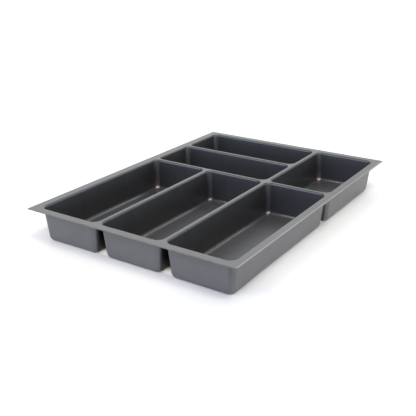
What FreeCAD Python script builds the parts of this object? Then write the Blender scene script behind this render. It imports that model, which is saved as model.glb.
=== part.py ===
# Cutlery tray: one plastic sheet formed into a flat rim with six open wells.
# Millimetres. Origin at the middle of the footprint on the surface that the tray stands on.
# +X runs to the right of the drawer, +Y to its back, +Z up.
import FreeCAD, Part
import math
import os

import Sketcher

# Driving dimensions of the tray
SIZES = {
    "front_well_width": 99.5,
    "front_well_length": 265.0,
    "cross_well_width": 86.5,
    "divider_width": 7.5,
    "flange_width": 13.5,
    "flange_corner_radius": 1.0,
    "tray_height": 50.7,
    "sheet_thickness": 1.6,
    "rim_depth": 8.0,
    "draft_angle": 5.5,
    "mouth_corner_radius": 10.0,
    "floor_corner_radius": 8.0,
    "floor_fillet": 6.0,
    "lip_radius": 3.2,
}

TOLERANCE = 1e-4

doc = FreeCAD.newDocument("cutlery_tray")
sheet = doc.addObject("Spreadsheet::Sheet", "sizes")
for row, (alias, size) in enumerate(SIZES.items(), start=1):
    sheet.set(f"A{row}", alias)
    sheet.set(f"B{row}", str(size))
    sheet.setAlias(f"B{row}", alias)
doc.recompute()


def of_sheet(alias):
    """The sheet's name for one of the driving dimensions, as an expression uses it."""
    return f"sizes.{alias}"


FRONT_WIDTH = of_sheet("front_well_width")
FRONT_LENGTH = of_sheet("front_well_length")
CROSS_WIDTH = of_sheet("cross_well_width")
DIVIDER = of_sheet("divider_width")
FLANGE = of_sheet("flange_width")
HEIGHT = of_sheet("tray_height")
SHEET = of_sheet("sheet_thickness")
RIM = of_sheet("rim_depth")
DRAFT = of_sheet("draft_angle")
MOUTH_CORNER = of_sheet("mouth_corner_radius")
FLOOR_CORNER = of_sheet("floor_corner_radius")

# The sheet's thickness measured level through a sloping wall, and the depth of the wells' floors
WALL = f"({SHEET} / cos({DRAFT}))"
FLOOR_DEPTH = f"({HEIGHT} - {SHEET})"

# Roundings, held to what the sheet, the divider, the rim and the floor's corners leave room for
LEAST_FLAT = 0.5
LIP_ROOM = f"min({DIVIDER} / 2; {RIM} - {LEAST_FLAT})"
LIP = f"max(min({of_sheet('lip_radius')}; {LIP_ROOM}); {SHEET} + {LEAST_FLAT})"
FLOOR_ROUND = f"min({of_sheet('floor_fillet')}; {FLOOR_CORNER} - {LEAST_FLAT})"

# Outline of the whole tray, worked out from the wells, the dividers and the flange
TRAY_WIDTH = f"(3 * {FRONT_WIDTH} + 2 * {DIVIDER} + 2 * {FLANGE})"
TRAY_LENGTH = f"({FRONT_LENGTH} + 2 * {CROSS_WIDTH} + 2 * {DIVIDER} + 2 * {FLANGE})"
COLUMN_STEP = f"({FRONT_WIDTH} + {DIVIDER})"
REAR_LENGTH = f"(2 * {CROSS_WIDTH} + {DIVIDER})"

# Centre lines and half sizes of the well mouths, in the plane of the rim's top face
FRONT_Y = f"(-{TRAY_LENGTH} / 2 + {FLANGE} + {FRONT_LENGTH} / 2)"
REAR_Y = f"({TRAY_LENGTH} / 2 - {FLANGE} - {REAR_LENGTH} / 2)"
CROSS_STEP = f"(({CROSS_WIDTH} + {DIVIDER}) / 2)"
CROSS_X = f"(-{COLUMN_STEP} / 2)"
CROSS_HALF = f"({FRONT_WIDTH} + {DIVIDER} / 2)"

WELLS = {
    "front_left_well": (f"-{COLUMN_STEP}", FRONT_Y, f"({FRONT_WIDTH} / 2)", f"({FRONT_LENGTH} / 2)"),
    "front_middle_well": ("0", FRONT_Y, f"({FRONT_WIDTH} / 2)", f"({FRONT_LENGTH} / 2)"),
    "front_right_well": (COLUMN_STEP, FRONT_Y, f"({FRONT_WIDTH} / 2)", f"({FRONT_LENGTH} / 2)"),
    "middle_cross_well": (CROSS_X, f"({REAR_Y} - {CROSS_STEP})", CROSS_HALF, f"({CROSS_WIDTH} / 2)"),
    "rear_cross_well": (CROSS_X, f"({REAR_Y} + {CROSS_STEP})", CROSS_HALF, f"({CROSS_WIDTH} / 2)"),
    "rear_right_well": (COLUMN_STEP, REAR_Y, f"({FRONT_WIDTH} / 2)", f"({REAR_LENGTH} / 2)"),
}


def origin_plane(body, role):
    """One of a body's own origin planes, found by its role."""
    return next(f for f in body.Origin.OriginFeatures if f.Role == role)


def flat_sketch(body, name, x, y, z):
    """A sketch parallel to the floor, with its own origin at the point that three expressions give."""
    sketch = body.newObject("Sketcher::SketchObject", name)
    sketch.AttachmentSupport = (origin_plane(body, "XY_Plane"), [""])
    sketch.MapMode = "FlatFace"
    for axis, place in zip("xyz", (x, y, z)):
        sketch.setExpression(f"AttachmentOffset.Base.{axis}", place)
    return sketch


def rounded_rectangle(sketch, half_x, half_y, radius):
    """Draws a rectangle with round corners about the sketch's origin, bound to three expressions."""
    a, b, r = (float(sketch.evalExpression(size)) for size in (half_x, half_y, radius))
    up = FreeCAD.Vector(0, 0, 1)
    inner_x, inner_y = a - r, b - r
    ends = [
        ((-inner_x, -b), (inner_x, -b)),
        ((a, -inner_y), (a, inner_y)),
        ((inner_x, b), (-inner_x, b)),
        ((-a, inner_y), (-a, -inner_y)),
    ]
    centres = [(inner_x, -inner_y), (inner_x, inner_y), (-inner_x, inner_y), (-inner_x, -inner_y)]
    for quarter, (side, centre) in enumerate(zip(ends, centres)):
        sketch.addGeometry(Part.LineSegment(*(FreeCAD.Vector(*point, 0) for point in side)))
        circle = Part.Circle(FreeCAD.Vector(*centre, 0), up, r)
        start = (quarter - 1) * math.pi / 2
        sketch.addGeometry(Part.ArcOfCircle(circle, start, start + math.pi / 2))
    bottom, right, top, left = 0, 2, 4, 6
    begin, end = 1, 2
    for line in (bottom, right, top, left):
        sketch.addConstraint(Sketcher.Constraint("Tangent", line, end, line + 1, begin))
        sketch.addConstraint(Sketcher.Constraint("Tangent", line + 1, end, (line + 2) % 8, begin))
    for line in (right, top, left):
        sketch.addConstraint(Sketcher.Constraint("Equal", bottom + 1, line + 1))
    sketch.addConstraint(Sketcher.Constraint("Horizontal", bottom))
    sketch.addConstraint(Sketcher.Constraint("Vertical", right))
    origin = (-1, 1)
    bound = [
        ("to_right", ("DistanceX", *origin, right, begin, a), half_x),
        ("to_left", ("DistanceX", left, begin, *origin, a), half_x),
        ("to_top", ("DistanceY", *origin, top, begin, b), half_y),
        ("to_bottom", ("DistanceY", bottom, begin, *origin, b), half_y),
        ("corner", ("Radius", bottom + 1, r), radius),
    ]
    for name, terms, size in bound:
        index = sketch.addConstraint(Sketcher.Constraint(*terms))
        sketch.renameConstraint(index, name)
        sketch.setExpression(f"Constraints.{name}", size)


def well_section(body, name, well, depth, wall="0"):
    """The outline of a well at a depth below the rim's top face, inside it or a wall's thickness further out."""
    x, y, half_x, half_y = WELLS[well]
    step = f"({wall}) - ({depth}) * tan({DRAFT})"
    share = f"({depth}) / {FLOOR_DEPTH}"
    sketch = flat_sketch(body, name, x, y, f"{HEIGHT} - ({depth})")
    radius = f"{MOUTH_CORNER} + ({FLOOR_CORNER} - {MOUTH_CORNER}) * {share} + {wall}"
    rounded_rectangle(sketch, f"{half_x} + {step}", f"{half_y} + {step}", radius)
    return sketch


def loft(body, kind, name, upper, lower):
    """A straight-sided loft from one section of a well down to another."""
    feature = body.newObject(f"PartDesign::{kind}Loft", name)
    feature.Profile = upper
    feature.Sections = [lower]
    feature.Ruled = True
    doc.recompute()
    return feature


def rounding(body, name, base, edges, radius):
    """A fillet on some edges of the body's latest feature, bound to an expression."""
    feature = body.newObject("PartDesign::Fillet", name)
    feature.Base = (base, edges)
    feature.setExpression("Radius", radius)
    doc.recompute()
    return feature


def edges_at(shape, height):
    """Names of the edges that lie wholly at one height."""
    return [
        f"Edge{number}"
        for number, edge in enumerate(shape.Edges, start=1)
        if abs(edge.BoundBox.ZMin - height) < TOLERANCE and abs(edge.BoundBox.ZMax - height) < TOLERANCE
    ]


def on_outline(box, outside):
    """Whether a box reaches the outer outline, seen from above."""
    gaps = (box.XMin - outside.XMin, outside.XMax - box.XMax, box.YMin - outside.YMin, outside.YMax - box.YMax)
    return min(gaps) < TOLERANCE


def tapered_block(name, well, depth, wall, radius):
    """The part of a well's volume below the rim, down to a depth, with its bottom edges rounded."""
    body = doc.addObject("PartDesign::Body", name)
    throat = well_section(body, f"{name}_throat", well, RIM, wall)
    base = well_section(body, f"{name}_base", well, depth, wall)
    block = loft(body, "Additive", f"{name}_block", throat, base)
    rounding(body, f"{name}_rounding", block, edges_at(block.Shape, block.Shape.BoundBox.ZMin), radius)
    return body


def hollowed(name, outer, inner):
    """One piece of the tray: an outer body with an inner body taken out of it."""
    piece = doc.addObject("Part::Cut", name)
    piece.Label = name
    piece.Base = outer
    piece.Tool = inner
    doc.recompute()
    return piece


def form_well(name):
    """A well below the rim, one sheet thick, with a rounded turn from its walls into its floor."""
    outside = tapered_block(f"{name}_outside", name, HEIGHT, WALL, f"{FLOOR_ROUND} + {SHEET}")
    inside = tapered_block(f"{name}_inside", name, FLOOR_DEPTH, "0", FLOOR_ROUND)
    return hollowed(name, outside, inside)


def pierced_block(name, margin, top, wall, lip):
    """A level block with an opening for each well and round lips about the openings' top edges."""
    body = doc.addObject("PartDesign::Body", name)
    outline = flat_sketch(body, f"{name}_outline", "0", "0", f"{HEIGHT} - {top}")
    corner = f"{of_sheet('flange_corner_radius')} + {margin}"
    rounded_rectangle(outline, f"{TRAY_WIDTH} / 2 + {margin}", f"{TRAY_LENGTH} / 2 + {margin}", corner)
    slab = body.newObject("PartDesign::Pad", f"{name}_slab")
    slab.Profile = outline
    slab.setExpression("Length", f"{RIM} - {top}")
    slab.Reversed = True
    doc.recompute()
    for well in WELLS:
        mouth = well_section(body, f"{name}_{well}_mouth", well, top, wall)
        throat = well_section(body, f"{name}_{well}_throat", well, RIM, wall)
        pierced = loft(body, "Subtractive", f"{name}_{well}_opening", mouth, throat)
    outside = pierced.Shape.BoundBox
    lips = [
        edge
        for edge in edges_at(pierced.Shape, outside.ZMax)
        if not on_outline(pierced.Shape.getElement(edge).BoundBox, outside)
    ]
    rounding(body, f"{name}_lips", pierced, lips, lip)
    return body


def form_rim():
    """The rim: a flange and dividers whose lips turn down into the six wells, one sheet thick throughout."""
    skin = pierced_block("rim_skin", "0", "0", "0", LIP)
    underside = pierced_block("rim_underside", FLANGE, SHEET, WALL, f"{LIP} - {SHEET}")
    return hollowed("rim_frame", skin, underside)


pieces = [form_rim()]
for well in WELLS:
    pieces.append(form_well(well))
doc.recompute()

for part in doc.Objects:
    if "Invalid" in part.State or "Error" in part.State:
        raise RuntimeError(f"{part.Label} failed: {part.State}")
for piece in pieces:
    if piece.Shape.isNull() or not piece.Shape.isValid():
        raise RuntimeError(f"{piece.Label} has no valid shape")

os.makedirs("parts", exist_ok=True)
for piece in pieces:
    piece.Shape.exportStep(f"parts/{piece.Label}.step")
    box = piece.Shape.BoundBox
    print(
        f"{piece.Label}: {len(piece.Shape.Solids)} solid, {piece.Shape.Volume / 1000:.1f} cm3, "
        f"x {box.XMin:.2f} to {box.XMax:.2f}, y {box.YMin:.2f} to {box.YMax:.2f}, z {box.ZMin:.2f} to {box.ZMax:.2f}"
    )
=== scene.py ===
# %% [markdown]
# # A cutlery tray, formed from one sheet
#
# The real tray is a single sheet of dark grey plastic. It is heated, drawn down over a mould with six
# hollows and trimmed to a rectangle, so its rim, walls and floors are all one sheet. This lesson starts
# with the upper skin of that sheet, gives it a thickness, trims its edge, and ends with the finishes.

# %% Load the frame
import math

import bpy
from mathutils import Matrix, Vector


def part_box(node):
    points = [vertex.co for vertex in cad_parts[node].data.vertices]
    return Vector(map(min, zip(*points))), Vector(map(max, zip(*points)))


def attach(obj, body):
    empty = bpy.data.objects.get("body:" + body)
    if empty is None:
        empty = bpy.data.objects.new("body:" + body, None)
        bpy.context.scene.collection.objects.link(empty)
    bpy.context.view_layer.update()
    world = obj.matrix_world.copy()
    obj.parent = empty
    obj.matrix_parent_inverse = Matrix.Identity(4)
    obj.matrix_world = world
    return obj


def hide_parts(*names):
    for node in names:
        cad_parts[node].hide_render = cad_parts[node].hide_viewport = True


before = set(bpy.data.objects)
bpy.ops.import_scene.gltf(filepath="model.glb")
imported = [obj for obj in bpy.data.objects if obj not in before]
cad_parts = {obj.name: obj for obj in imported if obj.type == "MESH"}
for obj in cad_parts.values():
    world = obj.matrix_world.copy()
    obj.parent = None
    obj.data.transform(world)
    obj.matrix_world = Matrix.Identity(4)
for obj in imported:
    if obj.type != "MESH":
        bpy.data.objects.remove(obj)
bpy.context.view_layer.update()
print("nodes of the frame:", sorted(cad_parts))

# %% [markdown]
# ## Sizes
#
# The frame knows how large the tray is and where each well lies. Only what can't be read from a box is
# named here: the sheet's thickness, the slope of the walls and the roundings. Blender works in metres.

# %% Sizes
MM = 0.001
SHEET = 1.6 * MM
DRAFT = math.radians(5.5)
LIP_RADIUS = 3.2 * MM
FLOOR_FILLET = 6.0 * MM
MOUTH_CORNER = 10.0 * MM
FLOOR_CORNER = 8.0 * MM
FLANGE_CORNER = 1.0 * MM

rim_low, rim_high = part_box("rim_frame")
rim_centre = (rim_low + rim_high) / 2
rim_half_x = (rim_high.x - rim_low.x) / 2
rim_half_y = (rim_high.y - rim_low.y) / 2
TOP = rim_high.z
SEAM = rim_low.z
WELL_NODES = sorted(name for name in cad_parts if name.endswith("_well"))
print(f"rim {2 * rim_half_x / MM:.1f} by {2 * rim_half_y / MM:.1f} mm, top at {TOP / MM:.1f} mm")

# %% [markdown]
# ## Camera
#
# The camera stands in front of the tray, to the right and well above it, with a longish lens. Its place
# and turn were worked out from the edges of the rim, of the wells' mouths and of the walls' feet in the
# photograph, so nothing is fitted by eye.

# %% Camera
CAMERA_PLACE = Vector((0.52595, -0.84742, TOP + 0.35426))
CAMERA_AZIMUTH = math.radians(33.067)
CAMERA_ELEVATION = math.radians(21.702)
LENS = 59.294
SENSOR = 36.0

camera_turn = (math.pi / 2 - CAMERA_ELEVATION, 0, CAMERA_AZIMUTH)
bpy.ops.object.camera_add(location=CAMERA_PLACE, rotation=camera_turn)
camera = bpy.context.object
camera.name = "photo_camera"
camera.data.lens = LENS
camera.data.sensor_width = SENSOR
bpy.context.scene.camera = camera
print(f"camera {CAMERA_PLACE.length:.2f} m from the tray's middle")

# %% [markdown]
# ## Shader nodes in short
#
# The light table, the studio and the finishes are built from nodes. Four small helpers keep that readable:
# one feeds a socket with a value or a link, one does sums, one makes a smooth step, and one mixes two
# colours.

# %% Shader nodes in short


def feed(tree, socket, term):
    """Links an output to a socket, or writes a plain value into it."""
    if isinstance(term, bpy.types.NodeSocket):
        tree.links.new(term, socket)
    else:
        socket.default_value = term


def maths(tree, operation, *terms):
    """A Math node on outputs or plain values, and its result."""
    node = tree.nodes.new("ShaderNodeMath")
    node.operation = operation
    for socket, term in zip(node.inputs, terms):
        feed(tree, socket, term)
    return node.outputs["Value"]


def ramp(tree, term, low, high, to_low=0.0, to_high=1.0):
    """A smooth step from one value to another as a term goes from low to high."""
    node = tree.nodes.new("ShaderNodeMapRange")
    node.interpolation_type = "SMOOTHSTEP"
    labels = ("Value", "From Min", "From Max", "To Min", "To Max")
    for label, value in zip(labels, (term, low, high, to_low, to_high)):
        feed(tree, node.inputs[label], value)
    return node.outputs["Result"]


def blend(tree, amount, first, second):
    """A colour mixed from two others, which are plain colours or outputs."""
    node = tree.nodes.new("ShaderNodeMix")
    node.data_type = "RGBA"
    for label, term in (("Factor", amount), ("A", first), ("B", second)):
        socket = next(s for s in node.inputs if s.enabled and s.name == label)
        feed(tree, socket, (*term, 1) if isinstance(term, tuple) else term)
    return next(s for s in node.outputs if s.enabled)


print("helpers for nodes:", ", ".join(helper.__name__ for helper in (feed, maths, ramp, blend)))

# %% [markdown]
# ## Light table
#
# The tray stands on a light table: a plain pale floor that glows, so that the outer walls stay light down
# to their feet. First comes the floor itself, with a matte paint that has no shine of its own.

# %% Light table
FLOOR_SIZE = 40.0
FLOOR_PAINT = (0.62, 0.62, 0.62)
FLOOR_ROUGHNESS = 0.9

bpy.ops.mesh.primitive_plane_add(size=FLOOR_SIZE, location=(0, 0, 0))
floor = bpy.context.object
floor.name = "studio_floor"
floor_finish = bpy.data.materials.new("studio_white")
floor_finish.use_nodes = True
floor.data.materials.append(floor_finish)
table = floor_finish.node_tree
paint = table.nodes["Principled BSDF"]
paint.inputs["Base Color"].default_value = (*FLOOR_PAINT, 1)
paint.inputs["Roughness"].default_value = FLOOR_ROUGHNESS
paint.inputs["Specular IOR Level"].default_value = 0.0
paint.inputs["Emission Strength"].default_value = 1.0
print(f"light table of {FLOOR_SIZE:.0f} m")

# %% [markdown]
# ## Glow of the table
#
# The glow goes by the distance from a dark rectangle below the middle of the tray, which keeps the slots
# between the wells dark inside. It is strongest in the mouths of the slots and weakest at the feet of the
# walls, where lamps this soft cast only a faint shadow and a weaker glow deepens it. From there it grows
# with the distance, and the far floor stays white. Round the front right corner it is taken back once
# more, so that the shadow is as deep there as along the walls.

# %% Glow of the table
TABLE_GLOW = (1.0, 0.94, 0.765)
BLACK = (0.0, 0.0, 0.0)
SLOT_GLOW = 0.40
FOOT_GLOW = 0.125
OPEN_GLOW = 0.20
FAR_GLOW = 0.95
FRONT_RIGHT_GLOW = 0.25
DARK_INSET = 46 * MM
SLOT_FADE = 16 * MM
FOOT_FROM = 17 * MM
FOOT_TO = 26 * MM
OPEN_TO = 90 * MM
FAR_FROM = 0.6
FAR_TO = 1.4
FOOT_INSET = 22 * MM
FRONT_RIGHT_FOOT = (rim_half_x - FOOT_INSET, FOOT_INSET - rim_half_y, 0)
FRONT_RIGHT_FROM = 20 * MM
FRONT_RIGHT_TO = 95 * MM

coordinates = table.nodes.new("ShaderNodeTexCoord")
floor_point = table.nodes.new("ShaderNodeSeparateXYZ")
table.links.new(coordinates.outputs["Object"], floor_point.inputs["Vector"])
squares = []
for axis, half in (("X", rim_half_x), ("Y", rim_half_y)):
    from_middle = maths(table, "ABSOLUTE", floor_point.outputs[axis])
    beyond = maths(table, "SUBTRACT", from_middle, half - DARK_INSET)
    squares.append(maths(table, "POWER", maths(table, "MAXIMUM", beyond, 0.0), 2.0))
from_dark = maths(table, "SQRT", maths(table, "ADD", *squares))
table_light = ramp(table, from_dark, FOOT_TO, OPEN_TO, FOOT_GLOW, OPEN_GLOW)
table_light = ramp(table, from_dark, FAR_FROM, FAR_TO, table_light, FAR_GLOW)
table_light = ramp(table, from_dark, FOOT_FROM, FOOT_TO, SLOT_GLOW, table_light)
table_light = maths(table, "MULTIPLY", table_light, ramp(table, from_dark, 0.0, SLOT_FADE))
to_corner = table.nodes.new("ShaderNodeVectorMath")
to_corner.operation = "DISTANCE"
table.links.new(coordinates.outputs["Object"], to_corner.inputs[0])
to_corner.inputs[1].default_value = FRONT_RIGHT_FOOT
corner_span = (FRONT_RIGHT_FROM, FRONT_RIGHT_TO)
round_corner = ramp(table, to_corner.outputs["Value"], *corner_span, to_low=FRONT_RIGHT_GLOW)
table_light = maths(table, "MULTIPLY", table_light, round_corner)
table.links.new(blend(table, table_light, BLACK, TABLE_GLOW), paint.inputs["Emission Color"])
print(f"glow from {DARK_INSET / MM:.0f} mm inside the rim's outline")

# %% [markdown]
# ## Studio walls and ceiling
#
# A glossy sheet shows what stands around it, so the studio itself matters. It is dim on the side of the
# camera, has a large cool window at the front left, and is white behind the tray and overhead. On the dim
# side, a low white skirting carries the floor's white past the horizon. The world is mixed from these by
# direction. A turn is counted in degrees round the tray, from the front to the right, and a rise is the
# angle above the floor.

# %% Studio walls and ceiling
DIM_SIDE = (0.03, 0.03, 0.06)
WINDOW = (2.40, 2.74, 3.85)
WINDOW_TURN = 333
WINDOW_WIDE = 38
WINDOW_NARROW = 18
BACKDROP = (1.24, 1.22, 1.09)
BACKDROP_TURN = 183
BACKDROP_WIDE = 75
BACKDROP_NARROW = 45
CEILING = (0.69, 0.69, 0.69)
CEILING_FROM = 33
CEILING_TO = 47
SKIRTING = (1.05, 1.05, 1.05)
SKIRTING_FROM = 9
SKIRTING_TO = 2.5

world = bpy.data.worlds.new("studio_air")
world.use_nodes = True
air = world.node_tree
gaze = air.nodes.new("ShaderNodeTexCoord")
gaze_axes = air.nodes.new("ShaderNodeSeparateXYZ")
air.links.new(gaze.outputs["Generated"], gaze_axes.inputs["Vector"])
upward_square = maths(air, "POWER", gaze_axes.outputs["Z"], 2.0)
sideways = maths(air, "SQRT", maths(air, "SUBTRACT", 1.0, upward_square))


def toward(turn, wide, narrow):
    """How far a gaze lies toward a turn: 0 beyond the wide angle from it, 1 within the narrow one."""
    side = math.radians(turn)
    to_right = maths(air, "MULTIPLY", gaze_axes.outputs["X"], math.sin(side))
    to_front = maths(air, "MULTIPLY", gaze_axes.outputs["Y"], -math.cos(side))
    cosine = maths(air, "DIVIDE", maths(air, "ADD", to_right, to_front), sideways)
    return ramp(air, cosine, math.cos(math.radians(wide)), math.cos(math.radians(narrow)))


def risen(rise_from, rise_to):
    """A step from 0 to 1 as a gaze goes from one rise to the other."""
    low, high = (math.sin(math.radians(rise)) for rise in (rise_from, rise_to))
    return ramp(air, gaze_axes.outputs["Z"], low, high)


studio = blend(air, risen(SKIRTING_FROM, SKIRTING_TO), DIM_SIDE, SKIRTING)
studio = blend(air, toward(WINDOW_TURN, WINDOW_WIDE, WINDOW_NARROW), studio, WINDOW)
studio = blend(air, toward(BACKDROP_TURN, BACKDROP_WIDE, BACKDROP_NARROW), studio, BACKDROP)
studio = blend(air, risen(CEILING_FROM, CEILING_TO), studio, CEILING)
air.links.new(studio, air.nodes["Background"].inputs["Color"])
bpy.context.scene.world = world
bpy.context.scene.view_settings.view_transform = "Standard"
print(f"window at a turn of {WINDOW_TURN}, backdrop at {BACKDROP_TURN}")

# %% [markdown]
# ## Lamps
#
# Eight soft lamps add the rest. Three behind the tray put a sheen on the rim and along the turns of the
# wells. Two at the front light the walls that face it. One high on the right reaches the floors of the
# wells, and two near the floor light the right side.

# %% Lamps
LAMP_DISTANCE = 3.0
# Name, turn and rise in degrees, width and height in metres, power in watts, tint
LAMPS = (
    ("front_left_lamp", 327, 42, 1.0, 1.0, 15.5, (1.0, 0.94, 0.6)),
    ("front_right_lamp", 30, 44, 1.0, 1.0, 38.0, (0.78, 0.78, 1.0)),
    ("back_left_panel", 225, 40, 2.4, 1.8, 19.1, (0.80, 0.84, 1.0)),
    ("back_low_panel", 212, 5, 2.4, 0.5, 4.5, (0.3, 0.55, 1.0)),
    ("back_lamp", 180, 44, 1.0, 1.0, 12.8, (0.79, 0.87, 1.0)),
    ("right_high_lamp", 60, 66, 1.0, 1.0, 42.5, (1.0, 1.0, 0.88)),
    ("right_low_lamp", 80, 8, 0.8, 0.8, 26.5, (1.0, 1.0, 0.9)),
    ("back_right_low_lamp", 120, 8, 0.8, 0.8, 27.0, (0.66, 0.74, 1.0)),
)


def soft_lamp(name, turn, rise, wide, high, power, tint):
    """A flat lamp on a sphere round the tray, facing its middle. Turn and rise are in degrees."""
    side = math.radians(turn)
    up = math.radians(rise)
    outward = Vector((math.sin(side) * math.cos(up), -math.cos(side) * math.cos(up), math.sin(up)))
    bpy.ops.object.light_add(type="AREA", location=outward * LAMP_DISTANCE)
    lamp = bpy.context.object
    lamp.name = name
    lamp.rotation_euler = outward.to_track_quat("Z", "Y").to_euler()
    lamp.data.shape = "RECTANGLE"
    lamp.data.size = wide
    lamp.data.size_y = high
    lamp.data.energy = power
    lamp.data.color = tint
    print(f"{name}: {power:.1f} W from a turn of {turn} and a rise of {rise}")


for lamp in LAMPS:
    soft_lamp(*lamp)

# %% [markdown]
# ## Selecting and joining
#
# An operator acts on all that is selected, so the selection is always set in code. Three helpers do that:
# one deselects everything, one selects edges by the places of their ends, and one joins pieces.

# %% Selecting and joining


def deselect():
    """Back to object mode with nothing selected."""
    if bpy.context.mode != "OBJECT":
        bpy.ops.object.mode_set(mode="OBJECT")
    bpy.ops.object.select_all(action="DESELECT")


def select_edges(piece, test):
    """Selects the edges whose two ends both pass a test, and leaves the piece in edit mode."""
    deselect()
    bpy.context.view_layer.objects.active = piece
    piece.select_set(True)
    bpy.ops.object.mode_set(mode="EDIT")
    bpy.ops.mesh.select_mode(type="EDGE")
    bpy.ops.mesh.select_all(action="DESELECT")
    bpy.ops.object.mode_set(mode="OBJECT")
    passing = [test(vertex.co) for vertex in piece.data.vertices]
    for edge in piece.data.edges:
        edge.select = all(passing[index] for index in edge.vertices)
    bpy.ops.object.mode_set(mode="EDIT")


def join(pieces):
    """Joins several pieces into the first of them."""
    deselect()
    for piece in pieces:
        piece.select_set(True)
    bpy.context.view_layer.objects.active = pieces[0]
    bpy.ops.object.join()
    return pieces[0]


deselect()
print("selected before modelling:", len(bpy.context.selected_objects))

# %% [markdown]
# ## Outlines
#
# Every level section of the tray is a rectangle with round corners. By hand one would add a plane and
# bevel its four corner vertices, and the helper here does just that. A second helper measures how far a
# point lies from such an outline, which is how edges are picked out later.

# %% Outlines
CORNER_STEPS = 12
NEAR = 0.05 * MM


def rounded_face(name, centre, half_x, half_y, height, radius):
    """A level face with round corners: a plane whose corner vertices are bevelled."""
    deselect()
    bpy.ops.mesh.primitive_plane_add(size=2, location=(centre.x, centre.y, height))
    face = bpy.context.object
    face.name = name
    face.scale = (half_x, half_y, 1)
    bpy.ops.object.transform_apply(location=True, rotation=True, scale=True)
    bpy.ops.object.mode_set(mode="EDIT")
    bpy.ops.mesh.select_all(action="SELECT")
    bpy.ops.mesh.bevel(offset=radius, segments=CORNER_STEPS, affect="VERTICES", clamp_overlap=False)
    bpy.ops.object.mode_set(mode="OBJECT")
    return face


def gap_to_outline(point, centre, half_x, half_y, radius):
    """Level distance from a point to a rounded rectangle: zero on it and negative inside."""
    out_x = abs(point.x - centre.x) - half_x + radius
    out_y = abs(point.y - centre.y) - half_y + radius
    return math.hypot(max(out_x, 0), max(out_y, 0)) + min(max(out_x, out_y), 0) - radius


print(f"corners in {CORNER_STEPS} steps, places told apart to {NEAR / MM:.2f} mm")

# %% [markdown]
# ## The skin of a well
#
# A well is a hollow with a flat floor and walls that lean outward, so that it comes off its mould. One
# face could be inset and extruded downward, but the corners of mouth and floor differ in radius, so each
# is drawn as its own outline, and a bridge between the two makes the sloping walls. A narrow collar around
# the mouth, in the plane of the rim, gives the lip its room. Two bevels then round the mouth into a lip
# and the walls into the floor. The run of a bevel along each of its faces follows from the radius and from
# the angle between wall and floor.

# %% The skin of a well
LIP_STEPS = 8
FILLET_STEPS = 8
RUN_PER_RADIUS = math.tan((math.pi / 2 - DRAFT) / 2)
COLLAR_SPARE = 0.35 * MM
COLLAR = LIP_RADIUS * RUN_PER_RADIUS + COLLAR_SPARE


def mouth_of(node):
    """Centre and half sizes of a well's mouth in the rim's top plane, before its lip is rounded."""
    low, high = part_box(node)
    growth = (TOP - SEAM) * math.tan(DRAFT) - SHEET / math.cos(DRAFT)
    return (low + high) / 2, (high.x - low.x) / 2 + growth, (high.y - low.y) / 2 + growth


def well_skin(node):
    """The upper skin of one well, from a collar on the rim down to its floor."""
    centre, half_x, half_y = mouth_of(node)
    mouth = (centre, half_x, half_y, MOUTH_CORNER)
    around = (half_x + COLLAR, half_y + COLLAR, TOP, MOUTH_CORNER + COLLAR)
    skin = rounded_face(f"{node}_skin", centre, *around)
    bpy.ops.object.mode_set(mode="EDIT")
    bpy.ops.mesh.select_all(action="SELECT")
    bpy.ops.mesh.inset(thickness=COLLAR)
    bpy.ops.mesh.delete(type="ONLY_FACE")
    bpy.ops.object.mode_set(mode="OBJECT")

    slope = (TOP - SHEET) * math.tan(DRAFT)
    bottom = rounded_face(f"{node}_floor", centre, half_x - slope, half_y - slope, SHEET, FLOOR_CORNER)
    join([skin, bottom])

    def on_mouth(point):
        return abs(point.z - TOP) < NEAR and abs(gap_to_outline(point, *mouth)) < NEAR

    def on_floor(point):
        return abs(point.z - SHEET) < NEAR

    select_edges(skin, lambda point: on_mouth(point) or on_floor(point))
    bpy.ops.mesh.bridge_edge_loops()
    select_edges(skin, on_mouth)
    bpy.ops.mesh.bevel(offset=LIP_RADIUS * RUN_PER_RADIUS, segments=LIP_STEPS, clamp_overlap=False)
    select_edges(skin, on_floor)
    bpy.ops.mesh.bevel(offset=FLOOR_FILLET * RUN_PER_RADIUS, segments=FILLET_STEPS, clamp_overlap=False)
    bpy.ops.object.mode_set(mode="OBJECT")
    size = f"{2 * half_x / MM:.1f} by {2 * half_y / MM:.1f} mm"
    print(f"{node}: mouth {size}, {len(skin.data.polygons)} faces")
    return skin


skins = [well_skin(node) for node in WELL_NODES]

# %% [markdown]
# ## The flat rim between the wells
#
# What is left of the sheet is flat: the flange and the tops of the dividers. Six boolean cuts in a plate
# would make it too, but a fill keeps the collars' own points, so the skin closes without gaps. The rim's
# outline is drawn with a narrow border inside it, and one fill closes the space between that border and
# the collars. The border is narrower than the flange's corners are round, or its inset would fold there.

# %% The flat rim between the wells
BORDER_PER_CORNER = 0.7
BORDER = BORDER_PER_CORNER * FLANGE_CORNER
outline = (rim_centre, rim_half_x, rim_half_y, FLANGE_CORNER)

border = rounded_face("rim_border", rim_centre, rim_half_x, rim_half_y, TOP, FLANGE_CORNER)
bpy.ops.object.mode_set(mode="EDIT")
bpy.ops.mesh.select_all(action="SELECT")
bpy.ops.mesh.inset(thickness=BORDER)
bpy.ops.mesh.delete(type="ONLY_FACE")
bpy.ops.object.mode_set(mode="OBJECT")

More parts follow.
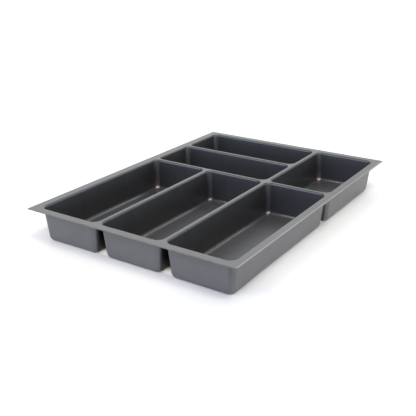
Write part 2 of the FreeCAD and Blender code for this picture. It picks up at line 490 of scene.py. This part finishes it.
tray = join([border] + skins)
tray.name = "formed_tray"
bpy.ops.object.mode_set(mode="EDIT")
bpy.ops.mesh.select_mode(type="EDGE")
bpy.ops.mesh.select_non_manifold(extend=False)
bpy.ops.object.mode_set(mode="OBJECT")
for edge in tray.data.edges:
    ends = [tray.data.vertices[index].co for index in edge.vertices]
    if all(abs(gap_to_outline(point, *outline)) < NEAR for point in ends):
        edge.select = False
bpy.ops.object.mode_set(mode="EDIT")
bpy.ops.mesh.fill(use_beauty=True)
bpy.ops.mesh.select_all(action="SELECT")
bpy.ops.mesh.normals_make_consistent(inside=False)
bpy.ops.object.mode_set(mode="OBJECT")
level_up = sum(face.normal.z * face.area for face in tray.data.polygons)
if level_up < 0:
    tray.data.flip_normals()
print(f"skin of the tray: {len(tray.data.polygons)} faces, turned {'over' if level_up < 0 else 'up'}")

# %% [markdown]
# ## Thickness and the trimmed edge
#
# The under side could be modelled as a second skin, but a Solidify modifier is surer to give the sheet the
# same thickness all over. It can also hand the new faces on to the next material slots, so the smooth
# upper side, the mould side below and the trimmed edge of the flange are told apart from here on. The
# trimmed edge is never knife sharp, so both of its edges get a small bevel.

# %% Thickness and the trimmed edge
TRIM_BEVEL = 0.3 * MM
TRIM_STEPS = 2

upper_side = bpy.data.materials.new("satin_anthracite")
mould_side = bpy.data.materials.new("matte_anthracite")
trimmed_edge = bpy.data.materials.new("trimmed_edge")
FINISHES = (upper_side, mould_side, trimmed_edge)

deselect()
tray.select_set(True)
bpy.context.view_layer.objects.active = tray
tray.data.materials.clear()
for finish in FINISHES:
    tray.data.materials.append(finish)
thickness = tray.modifiers.new("sheet", "SOLIDIFY")
thickness.thickness = SHEET
thickness.offset = -1
thickness.use_even_offset = True
thickness.material_offset = FINISHES.index(mould_side)
thickness.material_offset_rim = FINISHES.index(trimmed_edge)
bpy.ops.object.modifier_apply(modifier=thickness.name)

select_edges(tray, lambda point: abs(gap_to_outline(point, *outline)) < NEAR)
bpy.ops.object.mode_set(mode="OBJECT")
for edge in tray.data.edges:
    low, high = sorted(tray.data.vertices[index].co.z for index in edge.vertices)
    edge.select = edge.select and high - low < NEAR
bpy.ops.object.mode_set(mode="EDIT")
bpy.ops.mesh.bevel(
    offset=TRIM_BEVEL,
    segments=TRIM_STEPS,
    clamp_overlap=False,
    material=FINISHES.index(trimmed_edge),
)
bpy.ops.object.mode_set(mode="OBJECT")
print(f"sheet of {SHEET / MM:.1f} mm: {len(tray.data.polygons)} faces")

# %% [markdown]
# ## Cutting and smoothing
#
# The frame names the rim and each well as a piece of its own, which meet on a level plane in the straight
# part of the walls. One helper cuts a copy of the tray there and closes it. Another smooths a piece: the
# turns of the sheet are round, while its walls and floors have to stay flat.

# %% Cutting and smoothing
SMOOTH_BELOW = math.radians(35)


def cut_at_seam(source, keep):
    """A copy of the tray's upper or lower part, closed at the seam."""
    deselect()
    source.select_set(True)
    bpy.context.view_layer.objects.active = source
    bpy.ops.object.duplicate()
    half = bpy.context.object
    bpy.ops.object.mode_set(mode="EDIT")
    bpy.ops.mesh.select_all(action="SELECT")
    bpy.ops.mesh.bisect(
        plane_co=(0, 0, SEAM),
        plane_no=(0, 0, 1),
        use_fill=True,
        clear_inner=keep == "upper",
        clear_outer=keep == "lower",
    )
    bpy.ops.object.mode_set(mode="OBJECT")
    return half


def smooth(piece):
    """Smooth shading that keeps the flats flat: large faces decide the normals at their borders."""
    deselect()
    piece.select_set(True)
    bpy.context.view_layer.objects.active = piece
    bpy.ops.object.shade_smooth_by_angle(angle=SMOOTH_BELOW)
    weigh = piece.modifiers.new("flat walls", "WEIGHTED_NORMAL")
    weigh.keep_sharp = True
    bpy.ops.object.modifier_apply(modifier=weigh.name)


print(f"cut at {SEAM / MM:.1f} mm above the floor, smooth below {math.degrees(SMOOTH_BELOW):.0f} degrees")

# %% [markdown]
# ## Parting into the frame's pieces
#
# The upper part of the cut is the rim. The lower part falls into six loose wells, and each of them takes
# the place of the node that lies nearest. Rim and wells could be modelled apart, but cut from one tray,
# their walls run on across the cut without a break.

# %% Parting into the frame's pieces
rim = cut_at_seam(tray, "upper")
rim.name = "formed_rim"
cut_at_seam(tray, "lower")
bpy.ops.object.mode_set(mode="EDIT")
bpy.ops.mesh.select_all(action="SELECT")
bpy.ops.mesh.separate(type="LOOSE")
bpy.ops.object.mode_set(mode="OBJECT")
cups = list(bpy.context.selected_objects)
bpy.data.objects.remove(tray)

pieces = {"rim_frame": rim}
for cup in cups:
    corners = [Vector(corner) for corner in cup.bound_box]
    middle = sum(corners, Vector()) / len(corners)
    node = min(WELL_NODES, key=lambda name: (mouth_of(name)[0] - middle).to_2d().length)
    cup.name = f"formed_{node}"
    pieces[node] = cup
for node, piece in pieces.items():
    smooth(piece)
    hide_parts(node)
    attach(piece, "root")
print("pieces:", {node: len(piece.data.polygons) for node, piece in pieces.items()})

# %% [markdown]
# ## Grain
#
# The sheet has a grain: the fine tooth of its surface, and faint clouds where the heated plastic flowed
# unevenly. Both are too fine or too faint to model, so noise stands in for them. All finishes share the
# grain, so it is a node group with its own sizes.

# %% Grain
TOOTH_SIZE = 1 * MM
TOOTH_DETAIL = 2.0
CLOUD_SIZE = 20 * MM
CLOUD_DETAIL = 4.0


def new_group(name, outputs):
    """An empty node group with named float outputs, and its output node."""
    tree = bpy.data.node_groups.new(name, "ShaderNodeTree")
    for label in outputs:
        tree.interface.new_socket(name=label, in_out="OUTPUT", socket_type="NodeSocketFloat")
    return tree, tree.nodes.new("NodeGroupOutput")


def given(tree, label, value):
    """A named float input of a node group, with the value that it has when nothing else is set."""
    socket = tree.interface.new_socket(name=label, in_out="INPUT", socket_type="NodeSocketFloat")
    socket.default_value = value
    return tree.nodes.new("NodeGroupInput").outputs[label]


def noise(tree, size, detail):
    """Noise on the piece's own coordinates, with features of about a size in metres."""
    place = tree.nodes.new("ShaderNodeTexCoord")
    node = tree.nodes.new("ShaderNodeTexNoise")
    tree.links.new(place.outputs["Object"], node.inputs["Vector"])
    feed(tree, node.inputs["Scale"], maths(tree, "DIVIDE", 1.0, size))
    node.inputs["Detail"].default_value = detail
    return node.outputs["Fac"]


grain, result = new_group("sheet_grain", ("Height", "Cloud"))
tooth_size = given(grain, "Tooth Size", TOOTH_SIZE)
cloud_size = given(grain, "Cloud Size", CLOUD_SIZE)
grain.links.new(noise(grain, tooth_size, TOOTH_DETAIL), result.inputs["Height"])
grain.links.new(noise(grain, cloud_size, CLOUD_DETAIL), result.inputs["Cloud"])
print("group:", grain.name)

# %% [markdown]
# ## Stretch
#
# A second group tells where the sheet was drawn furthest: along the upright corners of the wells, and most
# of all where three turns meet at a floor. The direction of the surface shows both: an upright corner faces
# two ways at once, a floor corner three. It tells the floors apart too, which carry the cutlery. Each pair
# of numbers here is where a mask starts and where it is full.

# %% Stretch
FACING_TWO_WAYS = (0.24, 0.38)
FACING_AROUND = (0.06, 0.4)
FACING_THREE_WAYS = (0.05, 0.18)
FACING_UP = (0.75, 0.98)
FLOOR_ZONE = 14 * MM
THIN_ZONE = 20 * MM
THINNEST = 3 * MM
UPRIGHT_AT_FLOOR = 0.3


def axes_of(tree, coordinates):
    """The three axes of a point or a normal on the piece."""
    source = tree.nodes.new("ShaderNodeTexCoord")
    axes = tree.nodes.new("ShaderNodeSeparateXYZ")
    tree.links.new(source.outputs[coordinates], axes.inputs["Vector"])
    return [axes.outputs[axis] for axis in "XYZ"]


stretch, result = new_group("sheet_stretch", ("Upright Corner", "Thin Corner", "Floor Corner", "Floor"))
facing = axes_of(stretch, "Normal")
height = axes_of(stretch, "Object")[2]
across, along, upward = (maths(stretch, "ABSOLUTE", axis) for axis in facing)
two_ways = maths(stretch, "MULTIPLY", across, along)
three_ways = maths(stretch, "MULTIPLY", two_ways, upward)
low_down = ramp(stretch, height, given(stretch, "Floor Zone", FLOOR_ZONE), 0.0)
thinner_down = ramp(stretch, height, given(stretch, "Thin Zone", THIN_ZONE), THINNEST)
# Upright corners grow paler toward the rim: painted light, as more light reaches the top of a well.
paler_up = ramp(stretch, height, 0.0, TOP, to_low=UPRIGHT_AT_FLOOR)

upright = ramp(stretch, maths(stretch, "MULTIPLY", two_ways, along), *FACING_TWO_WAYS)
around = ramp(stretch, two_ways, *FACING_AROUND)
pulled = ramp(stretch, three_ways, *FACING_THREE_WAYS)
flat = ramp(stretch, facing[2], *FACING_UP)
masks = {
    "Upright Corner": (upright, paler_up),
    "Thin Corner": (around, thinner_down),
    "Floor Corner": (pulled, low_down),
    "Floor": (flat, low_down),
}
for label, factors in masks.items():
    stretch.links.new(maths(stretch, "MULTIPLY", *factors), result.inputs[label])
print("group:", stretch.name)

# %% [markdown]
# ## Places on the tray
#
# A third group goes by the place, measured from the rim's outline. Near it, thin corners get a painted
# warm glow, as if light from outside shone through. Walls that face each other across the slots between
# the wells get painted shade that makes them nearly black, and the tray's own four corners get painted
# shade that makes them darker than its walls. On the right, a painted highlight makes a paler line along
# the edge.

# %% Places on the tray
# Width of the painted highlight along the right edge.
EDGE_HIGHLIGHT_WIDTH = 2.4 * MM
# Where the painted shade in the slots starts and where it is full, measured in from the sides and ends.
SLOT_FROM = 28 * MM
SLOT_TO = 42 * MM
# Where the painted shade at the tray's own corners starts and where it is full.
CORNER_FROM = 60 * MM
CORNER_TO = 40 * MM
OUTER_ZONE = 45 * MM
FACING_SLOT = (0.65, 0.85)

places, result = new_group("tray_places", ("Outer Side", "Right Edge Highlight", "Slot Shade", "Tray Corner Shade"))
point = axes_of(places, "Object")
across, along = (maths(places, "ABSOLUTE", axis) for axis in axes_of(places, "Normal")[:2])
to_side = maths(places, "SUBTRACT", rim_half_x, maths(places, "ABSOLUTE", point[0]))
to_end = maths(places, "SUBTRACT", rim_half_y, maths(places, "ABSOLUTE", point[1]))
to_right = maths(places, "SUBTRACT", rim_half_x, point[0])

outer_zone = given(places, "Outer Zone", OUTER_ZONE)
outer = ramp(places, maths(places, "MINIMUM", to_side, to_end), outer_zone, 0.0)
places.links.new(outer, result.inputs["Outer Side"])
places.links.new(ramp(places, to_right, EDGE_HIGHLIGHT_WIDTH, EDGE_HIGHLIGHT_WIDTH / 2), result.inputs["Right Edge Highlight"])
slot_shade_parts = []
for sideways_normal, inward in ((across, to_side), (along, to_end)):
    turned = ramp(places, sideways_normal, *FACING_SLOT)
    slot_shade_parts.append(maths(places, "MULTIPLY", turned, ramp(places, inward, SLOT_FROM, SLOT_TO)))
places.links.new(maths(places, "MAXIMUM", *slot_shade_parts), result.inputs["Slot Shade"])
corner_shade_place = ramp(places, maths(places, "MAXIMUM", to_side, to_end), CORNER_FROM, CORNER_TO)
places.links.new(corner_shade_place, result.inputs["Tray Corner Shade"])
print("group:", places.name)

# %% [markdown]
# ## Helpers for the finishes
#
# Each finish is one material: a Principled shader whose colour, roughness and relief come from the groups.
# A painted texture could show the same, but groups that read the shape itself need no unwrapping. Noise
# stays near its middle, so only the middle of its range is spread over the shades.

# %% Helpers for the finishes
POLYSTYRENE_IOR = 1.58
CLOUD_RANGE = (0.3, 0.7)
TOOTH_RANGE = (0.25, 0.75)


def placed(tree, group, **values):
    """A group node in a material, with its own values. An underscore in a name stands for a space."""
    node = tree.nodes.new("ShaderNodeGroup")
    node.node_tree = group
    for label, value in values.items():
        node.inputs[label.replace("_", " ")].default_value = value
    return node.outputs


def finish_of(material):
    """A material's node tree and its shader, set to the refraction of polystyrene."""
    material.use_nodes = True
    shader = material.node_tree.nodes["Principled BSDF"]
    shader.inputs["IOR"].default_value = POLYSTYRENE_IOR
    return material.node_tree, shader


def clouded(tree, tooth, darker, lighter):
    """A colour that drifts between two shades with the clouds of the grain."""
    return blend(tree, ramp(tree, tooth["Cloud"], *CLOUD_RANGE), darker, lighter)


def toothed(tree, tooth, smoother, rougher):
    """A roughness that changes with the tooth of the grain."""
    return ramp(tree, tooth["Height"], *TOOTH_RANGE, smoother, rougher)


def relief(tree, shader, tooth, depth):
    """Raises the surface by the tooth of the grain, to a depth in metres."""
    bump = tree.nodes.new("ShaderNodeBump")
    bump.inputs["Distance"].default_value = depth
    tree.links.new(tooth["Height"], bump.inputs["Height"])
    tree.links.new(bump.outputs["Normal"], shader.inputs["Normal"])


print("refraction of the plastic:", POLYSTYRENE_IOR)

# %% [markdown]
# ## Finish of the upper side
#
# The side that one sees and touches is smooth, dark and fairly glossy. The floors are a little lighter and
# duller. The upright corners are paler, partly as stretched sheet and partly as painted light that grows
# toward the rim. The floor corners, drawn thinnest, are glossier and carry a painted glint, and at the
# outer floor corners a painted warm glow stands in for light shining through the thin sheet.

# %% Finish of the upper side
SHEET_SHADES = ((0.0195, 0.0198, 0.0205), (0.0235, 0.0238, 0.0245))
LIGHTER_FLOOR = (0.033, 0.0325, 0.033)
# Upright corners: partly the paler stretched sheet, partly painted light.
PALE_AND_LIT_UPRIGHT = (0.044, 0.047, 0.053)
# Painted glint: a lighter colour in every floor corner, where three turns meet.
PAINTED_GLINT = (0.15, 0.15, 0.155)
# Painted highlight along the right edge of the rim.
PAINTED_EDGE_HIGHLIGHT = (0.13, 0.13, 0.13)
# Painted warm glow of the finish itself at the outer corners, standing in for light through thin sheet.
PAINTED_GLOW = (0.07, 0.027, 0.014)
PAINTED_CORNER_GLOW = (0.27, 0.15, 0.10)
SHEET_ROUGHNESS = (0.27, 0.35)
FLOOR_DULLER = 0.15
DRAWN_GLOSSIER = 0.14
SHEET_TOOTH = 0.9 * MM
SHEET_CLOUD = 22 * MM
SHEET_RELIEF = 0.03 * MM

tree, shader = finish_of(upper_side)
tooth = placed(tree, grain, Tooth_Size=SHEET_TOOTH, Cloud_Size=SHEET_CLOUD)
drawn = placed(tree, stretch)
site = placed(tree, places)
colour = clouded(tree, tooth, *SHEET_SHADES)
colour = blend(tree, drawn["Floor"], colour, LIGHTER_FLOOR)
colour = blend(tree, drawn["Upright Corner"], colour, PALE_AND_LIT_UPRIGHT)
colour = blend(tree, drawn["Floor Corner"], colour, PAINTED_GLINT)
colour = blend(tree, site["Right Edge Highlight"], colour, PAINTED_EDGE_HIGHLIGHT)
tree.links.new(colour, shader.inputs["Base Color"])
duller = maths(tree, "MULTIPLY", drawn["Floor"], FLOOR_DULLER)
glossier = maths(tree, "MULTIPLY", drawn["Floor Corner"], DRAWN_GLOSSIER)
roughness = maths(tree, "ADD", toothed(tree, tooth, *SHEET_ROUGHNESS), duller)
roughness = maths(tree, "SUBTRACT", roughness, glossier)
tree.links.new(roughness, shader.inputs["Roughness"])
around_corner = maths(tree, "MULTIPLY", drawn["Thin Corner"], site["Outer Side"])
at_corner = maths(tree, "MULTIPLY", drawn["Floor Corner"], site["Outer Side"])
shine = blend(tree, around_corner, BLACK, PAINTED_GLOW)
shine = blend(tree, at_corner, shine, PAINTED_CORNER_GLOW)
tree.links.new(shine, shader.inputs["Emission Color"])
shader.inputs["Emission Strength"].default_value = 1.0
relief(tree, shader, tooth, SHEET_RELIEF)
print("finish:", upper_side.name)

# %% [markdown]
# ## Finish of the mould side
#
# The under side lay on the mould and took up its matte skin, which is a paler grey on the outer walls. It
# is palest at the wells' upright corners, partly as stretched sheet and partly as painted light. At the
# tray's own corners painted shade makes it darker, and in the slots between the wells painted shade makes
# it nearly black. The same groups serve it, with values of its own.

# %% Finish of the mould side
MOULD_SHADES = ((0.073, 0.0735, 0.075), (0.079, 0.0795, 0.081))
# Upright corners: partly the paler stretched sheet, partly painted light.
MOULD_PALE_AND_LIT_UPRIGHT = (0.094, 0.095, 0.098)
# Painted shade at the tray's own corners.
MOULD_CORNER_SHADE = (0.050, 0.051, 0.055)
# Painted shade, nearly black, on the walls in the slots between the wells.
MOULD_SLOT_SHADE = (0.006, 0.006, 0.0065)
MOULD_ROUGHNESS = (0.36, 0.46)
MOULD_TOOTH = 1.4 * MM
MOULD_CLOUD = 14 * MM
MOULD_RELIEF = 0.05 * MM

tree, shader = finish_of(mould_side)
tooth = placed(tree, grain, Tooth_Size=MOULD_TOOTH, Cloud_Size=MOULD_CLOUD)
drawn = placed(tree, stretch)
site = placed(tree, places)
corner_shade = maths(tree, "MULTIPLY", drawn["Upright Corner"], site["Tray Corner Shade"])
colour = clouded(tree, tooth, *MOULD_SHADES)
colour = blend(tree, drawn["Upright Corner"], colour, MOULD_PALE_AND_LIT_UPRIGHT)
colour = blend(tree, corner_shade, colour, MOULD_CORNER_SHADE)
colour = blend(tree, site["Slot Shade"], colour, MOULD_SLOT_SHADE)
tree.links.new(colour, shader.inputs["Base Color"])
tree.links.new(toothed(tree, tooth, *MOULD_ROUGHNESS), shader.inputs["Roughness"])
relief(tree, shader, tooth, MOULD_RELIEF)
print("finish:", mould_side.name)

# %% [markdown]
# ## Finish of the trimmed edge
#
# The cut round the rim opens the sheet's core, which is paler, warmer and rougher than its skin. Its faces
# have had a material slot of their own since the sheet got its thickness, so it needs no mask.

# %% Finish of the trimmed edge
CORE_SHADES = ((0.092, 0.08, 0.068), (0.114, 0.10, 0.085))
CORE_ROUGHNESS = (0.45, 0.6)
CORE_TOOTH = 0.6 * MM
CORE_CLOUD = 9 * MM
CORE_RELIEF = 0.08 * MM

tree, shader = finish_of(trimmed_edge)
tooth = placed(tree, grain, Tooth_Size=CORE_TOOTH, Cloud_Size=CORE_CLOUD)
tree.links.new(clouded(tree, tooth, *CORE_SHADES), shader.inputs["Base Color"])
tree.links.new(toothed(tree, tooth, *CORE_ROUGHNESS), shader.inputs["Roughness"])
relief(tree, shader, tooth, CORE_RELIEF)
print("finish:", trimmed_edge.name)
